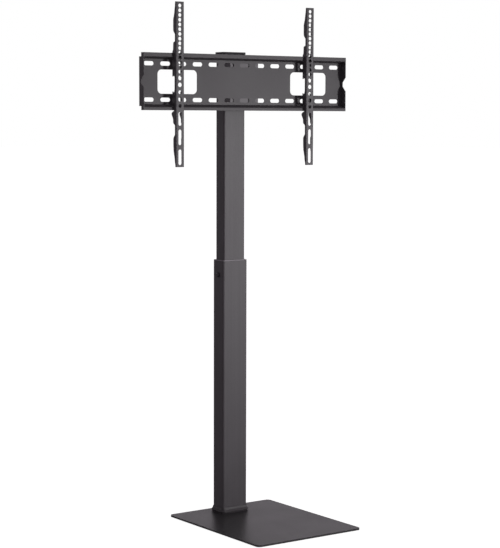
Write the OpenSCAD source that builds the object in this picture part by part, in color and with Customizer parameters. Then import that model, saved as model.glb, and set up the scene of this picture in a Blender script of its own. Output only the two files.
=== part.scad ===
// Floor stand for a flat screen: a flat base plate, a two-stage telescopic
// column, a slotted hook rail and two hook-on arms.
// Millimetres. +X right, front is -Y, +Z up. The origin is the centre of the
// base, on the surface that the stand rests on.

/* [Base] */
// Width of the base plate, left to right
base_w = 338; // [260:1:500]
// Depth of the base plate, front to back
base_d = 423; // [380:1:600]
// Thickness of the base plate
base_t = 5; // [4.5:0.5:10]
// Corner radius of the base plate
base_r = 12; // [4:1:40]
// Thickness of the rubber pads under the base
pad_t = 2; // [1.6:0.1:6]
// Distance from the rear edge of the base to the middle of the column
column_set = 49.5; // [46:0.5:120]

/* [Column] */
// Width of the lower tube
low_w = 80; // [76:1:100]
// Depth of the lower tube
low_d = 50; // [50:1:70]
// Height of the lower tube's top edge above the floor
low_top = 707.5; // [500:0.5:900]
// Wall of both tubes
wall = 2; // [1.5:0.5:2.5]
// Gap between the two tubes, taken up by the guide sleeve
tube_gap = 3; // [3:0.5:4]
// Outer corner radius of both tubes
tube_r = 5; // [4:0.5:6]
// Height of the upper tube's top edge at the drawn setting
up_top = 1270; // [1262:1:1400]
// Length of the upper tube
up_len = 711; // [620:1:760]
// Length of the guide sleeve inside the lower tube
sleeve_len = 97; // [80:1:97]
// Height of the clamp screws above the floor
clamp_z = 669; // [650:1:680]

/* [Rail] */
// Width of the hook rail
rail_w = 665; // [640:1:900]
// Overall height of the rail, lip edge to lip edge
rail_h = 149; // [140:1:170]
// Height of the middle of the rail above the floor
rail_z = 1192; // [1184:1:1200]
// Depth from the front of the lips to the front of the panel
rail_depth = 20; // [19:0.5:22]
// Height of the upper lip, outside
lip_h = 11; // [10:0.5:12]
// Height of the lower lip, outside
low_lip_h = 8.5; // [8:0.5:10]
// How far the upper shelf rises on its way from the panel to the lip
shelf_rise = 4.4; // [3.6:0.2:5.6]
// Sheet thickness of the rail
rail_t = 2; // [1.5:0.1:2.5]
// Number of slots in each row
slot_n = 13; // [9:2:13]
// Pitch of the slots
slot_pitch = 50.7; // [48:0.1:52]
// End-to-end length of each slot
slot_len = 31; // [20:1:38]
// Width of each slot
slot_w = 11; // [8:0.5:13]
// Distance between the two rows of slots
slot_rows = 94; // [90:1:98]
// Width of each window
win_w = 124; // [80:1:130]
// Height of each window
win_h = 63; // [40:1:66]
// Distance from the middle of the rail to the middle of each window
win_x = 215.5; // [190:0.5:225]
// Corner radius of the windows
win_r = 12; // [5:1:20]

/* [Arms] */
// Length of each arm
arm_len = 430; // [428:1:440]
// Width of each arm
arm_w = 26.4; // [24:0.2:32]
// Sheet thickness of the arms
arm_t = 2; // [1.5:0.1:2.2]
// Height of the arms' top ends above the floor
arm_top = 1399; // [1398.8:0.1:1399.4]
// Sideways place of the left arm
left_arm_x = -227; // [-300:1:-60]
// Sideways place of the right arm
right_arm_x = 199; // [60:1:300]
// Diameter of the screw holes, a clearance hole for M8
hole_d = 10; // [8.4:0.1:10.2]
// Pitch of the row of screw holes
hole_pitch = 12.2; // [12:0.1:12.4]

/* [Hidden] */
$fn = 48;

steel = [0.27, 0.265, 0.28];
dark = [0.16, 0.16, 0.17];
plastic = [0.1, 0.1, 0.11];
rubber = [0.07, 0.07, 0.07];
zinc = [0.55, 0.56, 0.58];

col_y = base_d/2 - column_set;          // middle of the column
base_z = pad_t;                         // underside of the base plate
floor_z = pad_t + base_t;               // top of the base plate
up_w = low_w - 2*wall - 2*tube_gap;
up_d = low_d - 2*wall - 2*tube_gap;
up_bot = up_top - up_len;
rim_t = 2.5;                            // rim of the guide sleeve
sleeve_t = tube_gap - 0.4;
clear = 0.3;                            // gap between sliding faces

tube_front = col_y - up_d/2;            // front face of the upper tube
lip_y = 75;                             // front of the rail's lips
panel_y = lip_y + rail_depth;           // front of the rail's panel
back_y = panel_y + rail_t;              // rear of the rail's panel
rail_top = rail_z + rail_h/2;
rail_bot = rail_z - rail_h/2;
arm_y = 65;                             // front of the arms

// U brackets between the rail and the column
rb_w = 96;                              // rail bracket, outside width
rb_h = 112;
rb_t = 3;
cb_w = rb_w - 2*rb_t - 0.4;             // column bracket nests inside it
cb_h = 104;
cb_t = 3;
cb_reach = 35;                          // its side walls, front to back
side_y = 122;                           // the side bolts that join the two
side_dz = 34;
cbolt_x = 17;                           // bolts into the upper tube
cbolt_dz = 38;

// ---------- shared shapes ----------

// rectangle with round corners, exact arcs
module rrect(w, d, r) {
    square([w - 2*r, d], center = true);
    square([w, d - 2*r], center = true);
    for (i = [-1, 1], j = [-1, 1])
        translate([i*(w/2 - r), j*(d/2 - r)]) circle(r = r, $fn = 32);
}

// hollow tube with round corners, standing on z0
module box_tube(w, d, r, t, z0, z1) {
    translate([0, 0, z0]) linear_extrude(z1 - z0)
        difference() {
            rrect(w, d, r);
            rrect(w - 2*t, d - 2*t, r - t);
        }
}

// quarter of a ring, centred at [0,0]; sx and sy pick the quadrant
module quarter(ro, ri, sx, sy) {
    intersection() {
        difference() { circle(r = ro, $fn = 40); circle(r = ri, $fn = 40); }
        translate([sx > 0 ? 0 : -ro - 1, sy > 0 ? 0 : -ro - 1]) square(ro + 1);
    }
}

// rod along X, from x0 to x1
module rod_x(r, x0, x1, y, z) {
    translate([x0, y, z]) rotate([0, 90, 0]) cylinder(r = r, h = x1 - x0);
}

// rod along Y, from y0 to y1
module rod_y(r, y0, y1, x, z) {
    translate([x, y0, z]) rotate([-90, 0, 0]) cylinder(r = r, h = y1 - y0);
}

// hexagon prism along X
module hex_x(af, x0, x1, y, z) {
    translate([x0, y, z]) rotate([0, 90, 0])
        cylinder(r = af/sqrt(3), h = x1 - x0, $fn = 6);
}

// round-ended slot cut along Y; len is end to end, along X when across is true
module slot_y(len, w, y0, y1, x, z, across) {
    a = (len - w)/2;
    if (across) {
        for (s = [-1, 1]) rod_y(w/2, y0, y1, x + s*a, z);
        translate([x - a, y0, z - w/2]) cube([2*a, y1 - y0, w]);
    } else {
        for (s = [-1, 1]) rod_y(w/2, y0, y1, x, z + s*a);
        translate([x - w/2, y0, z - a]) cube([w, y1 - y0, 2*a]);
    }
}

// ---------- base ----------

foot_x = 22;                            // base bolts, from the column's middle
foot_dy = 11;

module foot_places() {
    for (i = [-1, 1], j = [-1, 1])
        translate([i*foot_x, col_y + j*foot_dy, 0]) children();
}

module base_plate() {
    color(steel) difference() {
        translate([0, 0, base_z]) linear_extrude(base_t)
            rrect(base_w, base_d, base_r);
        foot_places() {
            translate([0, 0, base_z - 1]) cylinder(r = 4.5, h = base_t + 2);
            translate([0, 0, base_z - 0.01]) cylinder(r1 = 8.3, r2 = 4.5, h = 3.8);
        }
    }
}

module foot_pads() {
    color(rubber)
        for (i = [-1, 1], j = [-1, 1])
            translate([i*(base_w/2 - 26), j*(base_d/2 - 26), 0])
                cylinder(r = 15, h = pad_t);
}

// end plate welded inside the foot of the lower tube, tapped for the bolts
module foot_block() {
    color(steel) difference() {
        translate([0, col_y, floor_z]) linear_extrude(8)
            rrect(low_w - 2*wall, low_d - 2*wall, tube_r - wall);
        foot_places() translate([0, 0, floor_z - 1]) cylinder(r = 4.05, h = 10);
    }
}

module base_bolts() {
    color(zinc) foot_places() difference() {
        union() {
            translate([0, 0, base_z + 0.2]) cylinder(r1 = 7.7, r2 = 4, h = 3.7);
            translate([0, 0, base_z + 3.9]) cylinder(r = 4, h = 11);
        }
        translate([0, 0, base_z - 0.1]) cylinder(r = 2.9, h = 2.4, $fn = 6);
    }
}

// profile of the trim collar, in [distance from the tube's face, height]
flare = [[-1, 0], [3.8, 0], [4, 2.2], [6, 3.6], [6.5, 4.6], [6.2, 5.7],
         [4.8, 7.1], [3.4, 9], [2.3, 11.6], [1.5, 14.6], [1, 15.2], [-1, 15.2]];

// one straight side of the collar, len long, on the tube face at +Y
module flare_side(len) {
    rotate([90, 0, 90]) translate([0, 0, -len/2]) linear_extrude(len)
        polygon(flare);
}

// flared trim collar round the foot of the column
module foot_trim() {
    color(steel) difference() {
        translate([0, col_y, floor_z]) {
            for (s = [0, 180]) {
                rotate(s) translate([0, low_d/2, 0]) flare_side(low_w - 2*tube_r);
                rotate(s + 90) translate([0, low_w/2, 0])
                    flare_side(low_d - 2*tube_r);
            }
            for (i = [0, 1], j = [0, 1]) mirror([i, 0]) mirror([0, j])
                translate([low_w/2 - tube_r, low_d/2 - tube_r, 0])
                    rotate_extrude(angle = 90, $fn = 48)
                        polygon([for (p = flare) [p[0] + tube_r, p[1]]]);
        }
        translate([0, col_y, floor_z - 1]) linear_extrude(19)
            rrect(low_w + 0.4, low_d + 0.4, tube_r + 0.2);
    }
}

// ---------- column ----------

module lower_tube() {
    color(steel) difference() {
        translate([0, col_y, 0])
            box_tube(low_w, low_d, tube_r, wall, floor_z, low_top);
        for (s = [-1, 1])
            rod_x(6.05, s > 0 ? low_w/2 - 5 : -low_w/2 - 1,
                  s > 0 ? low_w/2 + 1 : -low_w/2 + 5, col_y, clamp_z);
    }
}

// moulded sleeve with a rim that sits on the tube's top edge
module guide_sleeve() {
    color(plastic) difference() {
        union() {
            translate([0, col_y, low_top - sleeve_len]) linear_extrude(sleeve_len)
                rrect(low_w - 2*wall - 0.2, low_d - 2*wall - 0.2, tube_r - wall);
            translate([0, col_y, low_top]) linear_extrude(rim_t)
                rrect(low_w, low_d, tube_r);
        }
        translate([0, col_y, low_top - sleeve_len - 1])
            linear_extrude(sleeve_len + rim_t + 2)
                rrect(up_w + 2*clear, up_d + 2*clear, tube_r + clear);
        for (s = [-1, 1])
            rod_x(6.4, s > 0 ? up_w/2 - 2 : -low_w/2,
                  s > 0 ? low_w/2 : -up_w/2 + 2, col_y, clamp_z);
    }
}

// threaded inserts set in the sides of the lower tube
module insert_shape() {
    difference() {
        union() {
            rod_x(7.5, -low_w/2 - 0.8, -low_w/2, col_y, clamp_z);
            rod_x(6, -low_w/2, -low_w/2 + 3.8, col_y, clamp_z);
        }
        rod_x(4.05, -low_w/2 - 2, -low_w/2 + 6, col_y, clamp_z);
    }
}

module clamp_inserts() {
    color(dark) {
        insert_shape();
        mirror([1, 0, 0]) insert_shape();
    }
}

// low-head socket screw that bears on the upper tube
module clamp_screw() {
    x0 = -low_w/2 - 0.8;
    color(dark) difference() {
        union() {
            rod_x(6.5, x0 - 2.4, x0 - 0.1, col_y, clamp_z);
            translate([x0 - 2.4, col_y, clamp_z]) rotate([0, -90, 0])
                cylinder(r1 = 6.5, r2 = 4.6, h = 1.1);
            rod_x(4, x0 - 0.2, -up_w/2, col_y, clamp_z);
        }
        hex_x(5, x0 - 4, x0 - 1.2, col_y, clamp_z);
    }
}

module left_clamp_screw() { clamp_screw(); }
module right_clamp_screw() { mirror([1, 0, 0]) clamp_screw(); }

module upper_tube() {
    color(steel) difference() {
        translate([0, col_y, 0]) box_tube(up_w, up_d, tube_r, wall, up_bot, up_top);
        for (i = [-1, 1], j = [-1, 1])
            rod_y(5.5, tube_front - 1, tube_front + wall + 1,
                  i*cbolt_x, rail_z + j*cbolt_dz);
    }
}

// plastic shoe on the bottom of the upper tube; it runs inside the lower tube
module glide_plug() {
    color(plastic) difference() {
        union() {
            translate([0, col_y, up_bot - 16]) linear_extrude(16)
                rrect(low_w - 2*wall - 2*clear, low_d - 2*wall - 2*clear,
                      tube_r - wall);
            translate([0, col_y, up_bot]) linear_extrude(22)
                rrect(up_w - 2*wall - 0.2, up_d - 2*wall - 0.2, tube_r - wall);
        }
        translate([0, col_y, up_bot - 17]) linear_extrude(42)
            rrect(up_w - 2*wall - 8, up_d - 2*wall - 8, 3);
    }
}

module top_cap() {
    color(plastic) {
        translate([0, col_y, up_top]) linear_extrude(6)
            rrect(up_w + 5.2, up_d + 5.2, tube_r + 2);
        translate([0, col_y, up_top - 12]) linear_extrude(12)
            difference() {
                rrect(up_w - 2*wall - 0.3, up_d - 2*wall - 0.3, tube_r - wall);
                rrect(up_w - 2*wall - 5, up_d - 2*wall - 5, 2);
            }
    }
}

// ---------- brackets between column and rail ----------

module cbolt_places() {
    for (i = [-1, 1], j = [-1, 1])
        translate([i*cbolt_x, 0, rail_z + j*cbolt_dz]) children();
}

module tube_rivet_nuts() {
    color(zinc) cbolt_places() difference() {
        union() {
            rod_y(8, tube_front - 0.6, tube_front, 0, 0);
            rod_y(5.45, tube_front, tube_front + 13, 0, 0);
        }
        rod_y(4.05, tube_front - 2, tube_front + 14, 0, 0);
    }
}

module column_bracket() {
    yb = tube_front - 0.6;              // rear face, on the rivet nuts' flanges
    ri = 1; ro = ri + cb_t;
    color(dark) difference() {
        translate([0, 0, rail_z - cb_h/2]) linear_extrude(cb_h) {
            translate([-cb_w/2 + ro, yb - cb_t]) square([cb_w - 2*ro, cb_t]);
            for (s = [-1, 1]) {
                translate([s*(cb_w/2 - ro), yb - ro]) quarter(ro, ri, s, 1);
                translate([s > 0 ? cb_w/2 - cb_t : -cb_w/2, yb - cb_reach])
                    square([cb_t, cb_reach - ro]);
            }
        }
        cbolt_places() rod_y(4.5, yb - 20, yb + 1, 0, 0);
        for (j = [-1, 1])
            rod_x(4.5, -cb_w, cb_w, side_y, rail_z + j*side_dz);
    }
}

module column_bolts() {
    yb = tube_front - 0.6 - cb_t - 1.6;
    color(zinc) cbolt_places() difference() {
        union() {
            rod_y(4, yb, tube_front + 11, 0, 0);
            translate([0, yb, 0]) rotate([90, 0, 0])
                cylinder(r = 13/sqrt(3), h = 5.3, $fn = 6);
        }
    }
}

module column_washers() {
    yb = tube_front - 0.6 - cb_t;
    color(zinc) cbolt_places() difference() {
        rod_y(8, yb - 1.6, yb, 0, 0);
        rod_y(4.2, yb - 3, yb + 1, 0, 0);
    }
}

module rail_bracket() {
    yf = back_y;
    ri = 1; ro = ri + rb_t;
    reach = 40;
    color(dark) difference() {
        translate([0, 0, rail_z - rb_h/2]) linear_extrude(rb_h) {
            translate([-rb_w/2 + ro, yf]) square([rb_w - 2*ro, rb_t]);
            for (s = [-1, 1]) {
                translate([s*(rb_w/2 - ro), yf + ro]) quarter(ro, ri, s, -1);
                translate([s > 0 ? rb_w/2 - rb_t : -rb_w/2, yf + ro])
                    square([rb_t, reach - ro]);
            }
        }
        for (j = [-1, 1])
            rod_x(4.5, -rb_w, rb_w, side_y, rail_z + j*side_dz);
    }
}

// bolts that join the two brackets, two on each side
module both_sides() {
    for (j = [-1, 1]) translate([0, 0, j*side_dz]) {
        children();
        mirror([1, 0, 0]) children();
    }
}

module side_bolts() {
    xo = rb_w/2 + 1.6;
    color(zinc) both_sides() union() {
        hex_x(13, xo, xo + 5.3, side_y, rail_z);
        rod_x(4, xo - 21, xo, side_y, rail_z);
    }
}

module side_washers() {
    color(zinc) both_sides() {
        difference() {
            rod_x(8, rb_w/2, rb_w/2 + 1.6, side_y, rail_z);
            rod_x(4.2, rb_w/2 - 1, rb_w/2 + 3, side_y, rail_z);
        }
        difference() {
            rod_x(8, cb_w/2 - cb_t - 1.6, cb_w/2 - cb_t, side_y, rail_z);
            rod_x(4.2, cb_w/2 - cb_t - 3, cb_w/2, side_y, rail_z);
        }
    }
}

module side_nuts() {
    x1 = cb_w/2 - cb_t - 1.6;
    color(zinc) both_sides() difference() {
        hex_x(13, x1 - 6.5, x1, side_y, rail_z);
        rod_x(4.05, x1 - 8, x1 + 1, side_y, rail_z);
    }
}

// ---------- rail ----------

// The panel bends forward into a sloping shelf, which ends in an upright lip.
// m is 0 for the upper shelf and 1 for the lower. The functions give the two
// faces' distance from the rail's middle, at y.
function lip(m) = m == 0 ? lip_h : low_lip_h;
function slope(m) = (lip_h + shelf_rise - lip(m))/rail_depth;
function shelf_in(m, y) = rail_h/2 - lip(m) - (y - lip_y)*slope(m);
function shelf_out(m, y) = shelf_in(m, y) + rail_t*sqrt(1 + slope(m)*slope(m));

// half of the rail's section, in [y, distance from the middle]
module rail_half(m) {
    t = rail_t; h = rail_h/2; b = 1.3;
    polygon([
        [panel_y, 0], [panel_y, shelf_in(m, panel_y)],
        [lip_y + b, shelf_in(m, lip_y + b)], [lip_y + 0.4, h - lip(m) + 0.3],
        [lip_y, h - lip(m) + b], [lip_y, h], [lip_y + t, h],
        [lip_y + t, shelf_out(m, lip_y + t)],
        [back_y - b, shelf_out(m, back_y - b)],
        [back_y - 0.4, shelf_out(m, back_y) - 0.3],
        [back_y, shelf_out(m, back_y) - b], [back_y, 0]]);
}

// outline of the folded end tabs, in [y, distance from the middle]
function tab_half(h) = [
    [lip_y, h], [lip_y + 12, h], [lip_y + 12, h - 10.5], [back_y, h - 10.5],
    [back_y, 0], [lip_y + 13, 0], [lip_y + 13, 6], [lip_y, 19.5]];

module end_tab() {
    rotate([90, 0, 90]) linear_extrude(rail_t)
        for (m = [0, 1]) mirror([0, m])
            polygon(tab_half(rail_h/2));
}

module rail_plate() {
    color(steel) translate([0, 0, rail_z]) difference() {
        union() {
            translate([-rail_w/2, 0, 0]) rotate([90, 0, 90]) linear_extrude(rail_w)
                for (m = [0, 1]) mirror([0, m]) rail_half(m);
            translate([-rail_w/2, 0, 0]) end_tab();
            translate([rail_w/2 - rail_t, 0, 0]) end_tab();
        }
        for (i = [0 : slot_n - 1], j = [-1, 1])
            slot_y(slot_len, slot_w, panel_y - 2, back_y + 2,
                   (i - (slot_n - 1)/2)*slot_pitch, j*slot_rows/2, true);
        for (s = [-1, 1]) translate([s*win_x, panel_y - 2, 0]) {
            translate([-win_w/2 + win_r, 0, -win_h/2])
                cube([win_w - 2*win_r, rail_t + 4, win_h]);
            translate([-win_w/2, 0, -win_h/2 + win_r])
                cube([win_w, rail_t + 4, win_h - 2*win_r]);
            for (i = [-1, 1], j = [-1, 1])
                rod_y(win_r, 0, rail_t + 4,
                      i*(win_w/2 - win_r), j*(win_h/2 - win_r));
        }
    }
}

// ---------- arms ----------

// Outline of an arm's side flange, in [depth behind the face, distance below
// the top end]. The two gaps clear the rail: the upper one hooks over the top
// lip and rests on it, the lower one stands round the bottom lip.
hook_s = arm_top - rail_top;            // ceiling of the hook
shelf_s = arm_top - (rail_top - lip_h); // lower end of the top lip
low_s = arm_top - (rail_bot + low_lip_h); // upper end of the bottom lip
edge_s = arm_top - rail_bot;            // lower edge of the bottom lip
lip_d = lip_y - arm_y;                  // lip, behind the arm's face
flange = [
    [2, 0], [3, 0], [4.3, 12], [6.2, 22], [7.9, 32], [11.7, 43.5], [12.5, 47],
    [12.5, 72.2], [11.2, 77.2], [6, 82.3], [4.6, 85], [4.6, 102], [6, 103.5],
    [12, 105.5], [12.6, 108], [13.3, 124], [16.7, 129.5],
    [16.7, shelf_s - 3], [lip_d + 2.7, shelf_s - 3], [lip_d + 2.7, hook_s],
    [lip_d - 0.5, hook_s], [lip_d - 0.5, shelf_s + 1.4], [16.7, shelf_s + 4.4],
    [16.7, 193.3], [14.8, 193.8], [12.5, 190.5], [9, 192.3], [6.4, 194.2],
    [6.4, 227], [8.2, 233], [12.5, 237], [14.8, 232.5], [16.7, 233],
    [16.7, low_s - 14.5], [lip_d + 3, low_s - 9], [lip_d - 0.5, low_s - 6.5],
    [lip_d - 0.5, edge_s + 1.8],
    [13.5, edge_s + 2.6], [20.6, edge_s + 7.3], [20.6, edge_s + 11.3],
    [14.8, 302], [13.6, 305.5], [13.4, 312.7], [11.5, 316.2], [7, 319],
    [4.9, 321.5], [4.9, 345], [10.6, 351.5], [12.6, 356], [12.4, 372],
    [11.5, 388], [9.4, 396], [6.8, 406], [5.6, 416], [3.6, 422.5],
    [2.7, arm_len], [2, arm_len]];

module arm() {
    ri = 0.8; ro = ri + arm_t; w = arm_w;
    difference() {
        union() {
            // face, its two bends, and the flanges
            translate([0, 0, -arm_len]) linear_extrude(arm_len) {
                translate([-w/2 + ro, 0]) square([w - 2*ro, arm_t]);
                for (s = [-1, 1])
                    translate([s*(w/2 - ro), ro]) quarter(ro, ri, s, -1);
            }
            for (x = [-w/2, w/2 - arm_t])
                translate([x, 0, 0]) rotate([90, 0, 90]) linear_extrude(arm_t)
                    intersection() {
                        polygon([for (p = flange) [p[0], -p[1]]]);
                        translate([ro, -arm_len]) square([40, arm_len]);
                    }
        }
        for (k = [0 : 14])
            rod_y(hole_d/2, -1, arm_t + 1, 0, -10.3 - k*hole_pitch);
        slot_y(12.5, hole_d, -1, arm_t + 1, 0, -197.5, false);
        rod_y(6, -1, arm_t + 1, 0, -215.3);
        rod_y(hole_d/2, -1, arm_t + 1, 0, -234.5);
        slot_y(12.5, hole_d, -1, arm_t + 1, 0, -252.5, false);
        rod_y(hole_d/2, -1, arm_t + 1, 0, -270);
        slot_y(36, hole_d, -1, arm_t + 1, 0, -304, false);
        slot_y(41, hole_d, -1, arm_t + 1, 0, -352, false);
        slot_y(41, hole_d, -1, arm_t + 1, 0, -404, false);
    }
}

module left_arm() {
    color(steel) translate([left_arm_x, arm_y, arm_top]) arm();
}

module right_arm() {
    color(steel) translate([right_arm_x, arm_y, arm_top]) arm();
}

base_plate();
foot_pads();
foot_block();
base_bolts();
foot_trim();
lower_tube();
guide_sleeve();
clamp_inserts();
left_clamp_screw();
right_clamp_screw();
upper_tube();
glide_plug();
top_cap();
tube_rivet_nuts();
column_bracket();
column_bolts();
column_washers();
rail_bracket();
side_bolts();
side_washers();
side_nuts();
rail_plate();
left_arm();
right_arm();
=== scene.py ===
"""A floor stand for a flat screen, in charcoal powder-coated steel, on a white studio floor."""

import math

import bpy
from mathutils import Matrix, Vector

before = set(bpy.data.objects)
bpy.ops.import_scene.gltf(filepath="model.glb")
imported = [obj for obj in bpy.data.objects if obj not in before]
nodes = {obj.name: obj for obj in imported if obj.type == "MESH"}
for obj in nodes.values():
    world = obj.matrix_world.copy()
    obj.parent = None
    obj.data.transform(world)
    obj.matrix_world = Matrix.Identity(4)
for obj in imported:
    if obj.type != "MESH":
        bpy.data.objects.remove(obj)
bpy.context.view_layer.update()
scene = bpy.context.scene
scene.view_settings.view_transform = "Standard"
scene.view_settings.look = "None"
scene.view_settings.exposure = 0.0
scene.view_settings.gamma = 1.0


# ---------- node helpers ----------

class Tree:
    """A short way to write a material's nodes."""

    def __init__(self, name):
        self.mat = bpy.data.materials.new(name)
        self.mat.use_nodes = True
        self.nt = self.mat.node_tree
        self.nt.nodes.clear()
        self.out = self.nt.nodes.new("ShaderNodeOutputMaterial")
        self.bsdf = self.nt.nodes.new("ShaderNodeBsdfPrincipled")
        self.link(self.bsdf.outputs["BSDF"], self.out.inputs["Surface"])
        self.tc = self.nt.nodes.new("ShaderNodeTexCoord")
        self.obj = self.tc.outputs["Object"]

    def link(self, a, b):
        self.nt.links.new(a, b)

    def put(self, socket, value):
        if isinstance(value, bpy.types.NodeSocket):
            self.link(value, socket)
        else:
            socket.default_value = value

    def scaled(self, sx, sy, sz, rot=(0.0, 0.0, 0.0)):
        m = self.nt.nodes.new("ShaderNodeMapping")
        m.inputs["Scale"].default_value = (sx, sy, sz)
        m.inputs["Rotation"].default_value = rot
        self.link(self.obj, m.inputs["Vector"])
        return m.outputs["Vector"]

    def noise(self, scale, detail=2.0, rough=0.5, vec=None, distortion=0.0):
        n = self.nt.nodes.new("ShaderNodeTexNoise")
        self.link(vec if vec is not None else self.obj, n.inputs["Vector"])
        n.inputs["Scale"].default_value = scale
        n.inputs["Detail"].default_value = detail
        n.inputs["Roughness"].default_value = rough
        n.inputs["Distortion"].default_value = distortion
        return n.outputs["Fac"]

    def cells(self, scale, vec=None, feature="F1"):
        n = self.nt.nodes.new("ShaderNodeTexVoronoi")
        n.feature = feature
        self.link(vec if vec is not None else self.obj, n.inputs["Vector"])
        n.inputs["Scale"].default_value = scale
        return n.outputs["Distance"]

    def remap(self, value, a, b, c, d):
        m = self.nt.nodes.new("ShaderNodeMapRange")
        m.clamp = True
        self.link(value, m.inputs["Value"])
        for name, v in zip(("From Min", "From Max", "To Min", "To Max"), (a, b, c, d)):
            m.inputs[name].default_value = v
        return m.outputs["Result"]

    def math(self, op, a, b=0.0, clamp=False):
        m = self.nt.nodes.new("ShaderNodeMath")
        m.operation = op
        m.use_clamp = clamp
        self.put(m.inputs[0], a)
        self.put(m.inputs[1], b)
        return m.outputs["Value"]

    def mix(self, fac, a, b):
        m = self.nt.nodes.new("ShaderNodeMix")
        m.data_type = "RGBA"
        self.put(m.inputs["Factor"], fac)
        self.put(m.inputs["A"], a)
        self.put(m.inputs["B"], b)
        return m.outputs["Result"]

    def axis(self, which):
        s = self.nt.nodes.new("ShaderNodeSeparateXYZ")
        self.link(self.obj, s.inputs["Vector"])
        return s.outputs[which]

    def bump(self, height, strength, distance, normal=None):
        b = self.nt.nodes.new("ShaderNodeBump")
        b.inputs["Strength"].default_value = strength
        b.inputs["Distance"].default_value = distance
        self.link(height, b.inputs["Height"])
        if normal is not None:
            self.link(normal, b.inputs["Normal"])
        return b.outputs["Normal"]


def grey(v, warm=0.0):
    """A neutral grey in linear light, with a trace of magenta as charcoal coats have."""
    return (v * (1.0 + warm), v * 0.905, v * (1.0 - warm), 1.0)


def powder(name, tone, rough, spec=0.5, seed=0.0, drawn=0.0):
    """Charcoal powder coat: fine sand texture over a soft orange peel, and faint cloudy tone.
    Drawn tube shows through it as faint upright lines."""
    t = Tree(name)
    vec = t.scaled(1.0, 1.0, 1.0, (0.3 + seed, 0.2 - seed, 0.1))
    grain = t.noise(2600.0, 2.0, 0.6, vec)
    sand = t.cells(1500.0, vec)
    peel = t.noise(240.0, 3.0, 0.5, vec)
    cloud = t.noise(9.0, 3.0, 0.55, vec, 0.4)
    tone_mix = t.math("ADD", t.remap(grain, 0.3, 0.7, 0.0, 0.55), t.remap(cloud, 0.3, 0.7, 0.0, 0.45))
    colour = t.mix(tone_mix, grey(tone * 0.86), grey(tone * 1.13, 0.004))
    if drawn > 0.0:
        line = t.noise(150.0, 2.0, 0.6, t.scaled(1.0, 1.0, 0.004, (0.0, 0.0, 0.2)))
        dark = tuple(c * (1.0 - drawn) for c in grey(1.0)[:3]) + (1.0,)
        light = tuple(c * (1.0 + drawn) for c in grey(1.0)[:3]) + (1.0,)
        veil = t.mix(t.remap(line, 0.3, 0.7, 0.0, 1.0), dark, light)
        m = t.nt.nodes.new("ShaderNodeVectorMath")
        m.operation = "MULTIPLY"
        t.link(t.mix(tone_mix, (tone * 0.86,) * 3 + (1.0,), (tone * 1.13,) * 3 + (1.0,)), m.inputs[0])
        t.link(veil, m.inputs[1])
        colour = m.outputs["Vector"]
    t.link(colour, t.bsdf.inputs["Base Color"])
    r = t.math("ADD", t.remap(grain, 0.25, 0.75, -0.05, 0.05), t.remap(cloud, 0.3, 0.7, rough - 0.02, rough + 0.02))
    t.link(r, t.bsdf.inputs["Roughness"])
    t.bsdf.inputs["Specular IOR Level"].default_value = spec
    t.bsdf.inputs["IOR"].default_value = 1.5
    n = t.bump(peel, 0.10, 0.0004)
    n = t.bump(t.math("ADD", t.math("MULTIPLY", grain, 0.6), t.math("MULTIPLY", sand, 0.4)), 0.16, 0.00016, n)
    t.link(n, t.bsdf.inputs["Normal"])
    return t.mat


def plastic(name, tone, rough, spec=0.4):
    """Moulded black plastic with a fine spark-eroded texture."""
    t = Tree(name)
    grain = t.noise(3200.0, 2.0, 0.6)
    pits = t.cells(1900.0)
    cloud = t.noise(14.0, 2.0, 0.5)
    t.link(t.mix(t.remap(cloud, 0.3, 0.7, 0.0, 1.0), grey(tone * 0.9), grey(tone * 1.12)), t.bsdf.inputs["Base Color"])
    t.link(t.remap(grain, 0.3, 0.7, rough - 0.06, rough + 0.06), t.bsdf.inputs["Roughness"])
    t.bsdf.inputs["Specular IOR Level"].default_value = spec
    t.link(t.bump(t.math("ADD", grain, pits), 0.2, 0.0001), t.bsdf.inputs["Normal"])
    return t.mat


def rubber(name, tone):
    """Matte foamed rubber."""
    t = Tree(name)
    cell = t.cells(900.0)
    dust = t.noise(60.0, 4.0, 0.6)
    t.link(t.mix(t.remap(dust, 0.45, 0.7, 0.0, 1.0), grey(tone), grey(tone * 1.8)), t.bsdf.inputs["Base Color"])
    t.bsdf.inputs["Roughness"].default_value = 0.85
    t.bsdf.inputs["Specular IOR Level"].default_value = 0.25
    t.link(t.bump(cell, 0.35, 0.0002), t.bsdf.inputs["Normal"])
    return t.mat


def zinc(name, tone, rough):
    """Bright zinc plate over turned steel: turning lines and faint spangle."""
    t = Tree(name)
    lines = t.noise(700.0, 2.0, 0.5, t.scaled(6.0, 0.6, 6.0))
    spangle = t.cells(420.0)
    t.bsdf.inputs["Metallic"].default_value = 1.0
    t.link(t.mix(t.remap(spangle, 0.0, 0.8, 0.0, 1.0), (tone, tone, tone * 1.03, 1.0),
                 (tone * 0.82, tone * 0.83, tone * 0.87, 1.0)), t.bsdf.inputs["Base Color"])
    t.link(t.remap(lines, 0.3, 0.7, rough - 0.07, rough + 0.08), t.bsdf.inputs["Roughness"])
    t.link(t.bump(lines, 0.12, 0.00006), t.bsdf.inputs["Normal"])
    return t.mat


def oxide(name, tone, rough):
    """Black oxide on steel, a little oily."""
    t = Tree(name)
    mottle = t.noise(500.0, 3.0, 0.6)
    turn = t.noise(1400.0, 1.0, 0.5, t.scaled(0.4, 3.0, 3.0))
    t.bsdf.inputs["Metallic"].default_value = 0.65
    t.link(t.mix(t.remap(mottle, 0.3, 0.7, 0.0, 1.0), grey(tone * 0.75), grey(tone * 1.25)), t.bsdf.inputs["Base Color"])
    t.link(t.remap(mottle, 0.25, 0.75, rough - 0.08, rough + 0.1), t.bsdf.inputs["Roughness"])
    t.link(t.bump(turn, 0.1, 0.00005), t.bsdf.inputs["Normal"])
    return t.mat


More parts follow.
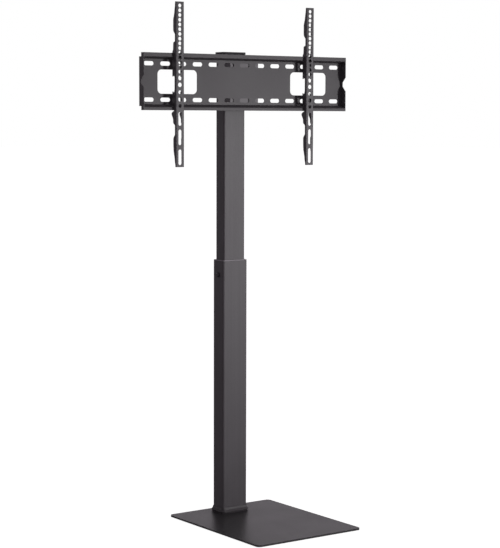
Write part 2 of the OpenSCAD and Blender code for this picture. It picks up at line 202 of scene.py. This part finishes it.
def mill(name, tone):
    """Bare mill-finish plate: dark scale with long rolling marks."""
    t = Tree(name)
    roll = t.noise(120.0, 4.0, 0.6, t.scaled(0.15, 3.0, 3.0))
    scale = t.noise(40.0, 4.0, 0.65)
    t.bsdf.inputs["Metallic"].default_value = 0.9
    t.link(t.mix(t.remap(scale, 0.35, 0.65, 0.0, 1.0), grey(tone * 0.7), grey(tone, 0.02)), t.bsdf.inputs["Base Color"])
    t.link(t.remap(roll, 0.3, 0.7, 0.38, 0.58), t.bsdf.inputs["Roughness"])
    t.link(t.bump(roll, 0.15, 0.0001), t.bsdf.inputs["Normal"])
    return t.mat


coat_base = powder("powder_coat_base", 0.031, 0.37, 0.86, 0.0)
coat_tube = powder("powder_coat_tubes", 0.078, 0.52, 0.32, 0.4, 0.05)
coat_rail = powder("powder_coat_rail", 0.064, 0.54, 0.30, 0.8)
coat_arms = powder("powder_coat_arms", 0.070, 0.52, 0.32, 1.2)
# The bracket coat is a lighter copy of the powder coat: painted light on the bracket web, which sits in shade behind
# the rail.
coat_brkt_painted_light = powder("powder_coat_brackets", 0.110, 0.52, 0.32, 1.6)
black_moulded = plastic("black_plastic", 0.045, 0.66, 0.18)
# The sleeve's light grey is partly the plastic's own lighter tone and partly a painted highlight along the rim's top
# edge.
sleeve_plastic_and_highlight = plastic("sleeve_plastic", 0.24, 0.56, 0.36)
grey_collar = plastic("grey_plastic", 0.060, 0.50, 0.30)
pad_rubber = rubber("pad_rubber", 0.015)
black_steel = oxide("black_steel", 0.085, 0.46)
zinc_steel = zinc("zinc_steel", 0.62, 0.34)
bare_steel = mill("bare_steel", 0.35)

looks = {
    "base_plate": (coat_base, 0.0006),
    "foot_pads": (pad_rubber, 0.0004),
    "foot_block": (bare_steel, 0.0004),
    "base_bolts": (zinc_steel, 0.0002),
    "foot_trim": (grey_collar, 0.0004),
    "lower_tube": (coat_tube, 0.0003),
    "guide_sleeve": (sleeve_plastic_and_highlight, 0.0005),
    "clamp_inserts": (black_steel, 0.0002),
    "left_clamp_screw": (black_steel, 0.0002),
    "right_clamp_screw": (black_steel, 0.0002),
    "upper_tube": (coat_tube, 0.0003),
    "glide_plug": (black_moulded, 0.0004),
    "top_cap": (black_moulded, 0.0009),
    "tube_rivet_nuts": (zinc_steel, 0.00015),
    "column_bracket": (coat_brkt_painted_light, 0.0004),
    "column_bolts": (zinc_steel, 0.0004),
    "column_washers": (zinc_steel, 0.00025),
    "rail_bracket": (coat_brkt_painted_light, 0.0004),
    "side_bolts": (zinc_steel, 0.0004),
    "side_washers": (zinc_steel, 0.00025),
    "side_nuts": (zinc_steel, 0.0004),
    "rail_plate": (coat_rail, 0.0005),
    "left_arm": (coat_arms, 0.0004),
    "right_arm": (coat_arms, 0.0004),
}

for name, (mat, edge) in looks.items():
    o = nodes[name]
    o.data.materials.clear()
    o.data.materials.append(mat)
    weld = o.modifiers.new("weld", "WELD")
    weld.merge_threshold = 0.00002
    bev = o.modifiers.new("edges", "BEVEL")
    bev.width = edge
    bev.segments = 2
    bev.limit_method = "ANGLE"
    bev.angle_limit = math.radians(35)
    bev.use_clamp_overlap = True
    bev.harden_normals = False
    for p in o.data.polygons:
        p.use_smooth = True
    keep = o.modifiers.new("normals", "WEIGHTED_NORMAL")
    keep.keep_sharp = True
    keep.weight = 80


# ---------- camera, at the photograph's place ----------

az, el, roll = math.radians(-35.34114), math.radians(5.18857), math.radians(0.14546)
back = Vector((math.sin(az) * math.cos(el), -math.cos(az) * math.cos(el), math.sin(el)))
right = Vector((math.cos(az), math.sin(az), 0.0))
up = back.cross(right)
r2 = right * math.cos(roll) + up * math.sin(roll)
u2 = -right * math.sin(roll) + up * math.cos(roll)
cam_data = bpy.data.cameras.new("camera")
cam = bpy.data.objects.new("camera", cam_data)
scene.collection.objects.link(cam)
m = Matrix((
    (r2.x, u2.x, back.x, -2.67989),
    (r2.y, u2.y, back.y, -3.71173),
    (r2.z, u2.z, back.z, 1.09693),
    (0, 0, 0, 1)))
cam.matrix_world = m
cam_data.sensor_fit = "AUTO"
cam_data.sensor_width = 36.0
cam_data.lens = 1713.7435 * 36.0 / 548.0
cam_data.clip_start = 0.05
cam_data.clip_end = 200.0
scene.camera = cam


# ---------- floor ----------

bpy.ops.mesh.primitive_circle_add(vertices=96, radius=60.0, fill_type="NGON", location=(0, 0, 0))
floor = bpy.context.active_object
floor.name = "floor"
ft = Tree("floor_white")
ft.bsdf.inputs["Base Color"].default_value = (0.6, 0.6, 0.6, 1.0)
ft.bsdf.inputs["Roughness"].default_value = 0.9
ft.bsdf.inputs["Specular IOR Level"].default_value = 0.0
ft.bsdf.inputs["Emission Color"].default_value = (1.0, 1.0, 1.0, 1.0)
ft.bsdf.inputs["Emission Strength"].default_value = 0.95
floor.data.materials.append(ft.mat)
floor.visible_diffuse = False
floor.visible_glossy = False


# ---------- light ----------

world = bpy.data.worlds.new("studio")
scene.world = world
world.use_nodes = True
wt = world.node_tree
wt.nodes.clear()
w_out = wt.nodes.new("ShaderNodeOutputWorld")
w_mix = wt.nodes.new("ShaderNodeMixShader")
w_path = wt.nodes.new("ShaderNodeLightPath")
w_seen = wt.nodes.new("ShaderNodeBackground")
w_seen.inputs["Color"].default_value = (1.0, 1.0, 1.0, 1.0)
w_seen.inputs["Strength"].default_value = 1.0
w_lit = wt.nodes.new("ShaderNodeBackground")
w_tc = wt.nodes.new("ShaderNodeTexCoord")
w_sep = wt.nodes.new("ShaderNodeSeparateXYZ")
wt.links.new(w_tc.outputs["Generated"], w_sep.inputs["Vector"])
w_ramp = wt.nodes.new("ShaderNodeValToRGB")
w_ramp.color_ramp.elements[0].position = 0.0
w_ramp.color_ramp.elements[0].color = (0.10, 0.093, 0.10, 1)
w_ramp.color_ramp.elements[1].position = 1.0
w_ramp.color_ramp.elements[1].color = (0.12, 0.1116, 0.12, 1)
for pos, v in ((0.40, 0.12), (0.495, 0.22), (0.505, 1.00), (0.56, 0.86), (0.62, 0.36), (0.70, 0.17)):
    e = w_ramp.color_ramp.elements.new(pos)
    e.color = (v, v * 0.93, v, 1)
w_map = wt.nodes.new("ShaderNodeMapRange")
w_map.inputs["From Min"].default_value = -1.0
w_map.inputs["From Max"].default_value = 1.0
wt.links.new(w_sep.outputs["Z"], w_map.inputs["Value"])
wt.links.new(w_map.outputs["Result"], w_ramp.inputs["Fac"])
w_dot = wt.nodes.new("ShaderNodeVectorMath")
w_dot.operation = "DOT_PRODUCT"
w_dot.inputs[1].default_value = (0.58, 0.81, 0.0)
wt.links.new(w_tc.outputs["Generated"], w_dot.inputs[0])
w_side = wt.nodes.new("ShaderNodeMapRange")
w_side.interpolation_type = "SMOOTHSTEP"
w_side.inputs["From Min"].default_value = 0.45
w_side.inputs["From Max"].default_value = 0.95
w_side.inputs["To Min"].default_value = 1.0
w_side.inputs["To Max"].default_value = 1.34
wt.links.new(w_dot.outputs["Value"], w_side.inputs["Value"])
w_gain = wt.nodes.new("ShaderNodeVectorMath")
w_gain.operation = "SCALE"
wt.links.new(w_ramp.outputs["Color"], w_gain.inputs[0])
wt.links.new(w_side.outputs["Result"], w_gain.inputs["Scale"])
wt.links.new(w_gain.outputs["Vector"], w_lit.inputs["Color"])
w_lit.inputs["Strength"].default_value = 0.93
wt.links.new(w_path.outputs["Is Camera Ray"], w_mix.inputs["Fac"])
wt.links.new(w_lit.outputs["Background"], w_mix.inputs[1])
wt.links.new(w_seen.outputs["Background"], w_mix.inputs[2])
wt.links.new(w_mix.outputs["Shader"], w_out.inputs["Surface"])


def softbox(name, place, target, size_x, size_y, watts):
    d = bpy.data.lights.new(name, "AREA")
    d.shape = "RECTANGLE"
    d.size = size_x
    d.size_y = size_y
    d.energy = watts
    o = bpy.data.objects.new(name, d)
    scene.collection.objects.link(o)
    o.location = place
    o.rotation_mode = "QUATERNION"
    o.rotation_quaternion = (Vector(target) - Vector(place)).to_track_quat("-Z", "Y")
    return o


def soft_spot(name, place, target, half_angle, radius, watts):
    d = bpy.data.lights.new(name, "SPOT")
    d.spot_size = 2.0 * math.radians(half_angle)
    d.spot_blend = 1.0
    d.shadow_soft_size = radius
    d.energy = watts
    o = bpy.data.objects.new(name, d)
    scene.collection.objects.link(o)
    o.location = place
    o.rotation_mode = "QUATERNION"
    o.rotation_quaternion = (Vector(target) - Vector(place)).to_track_quat("-Z", "Y")
    return o


soft_spot("key", (1.95, -2.95, 1.02), (-0.06, 0.1, 0.76), 17.5, 0.26, 350.0)
softbox("fill", (-2.6, -2.4, 2.2), (0.0, 0.1, 0.7), 1.8, 1.8, 3.0)
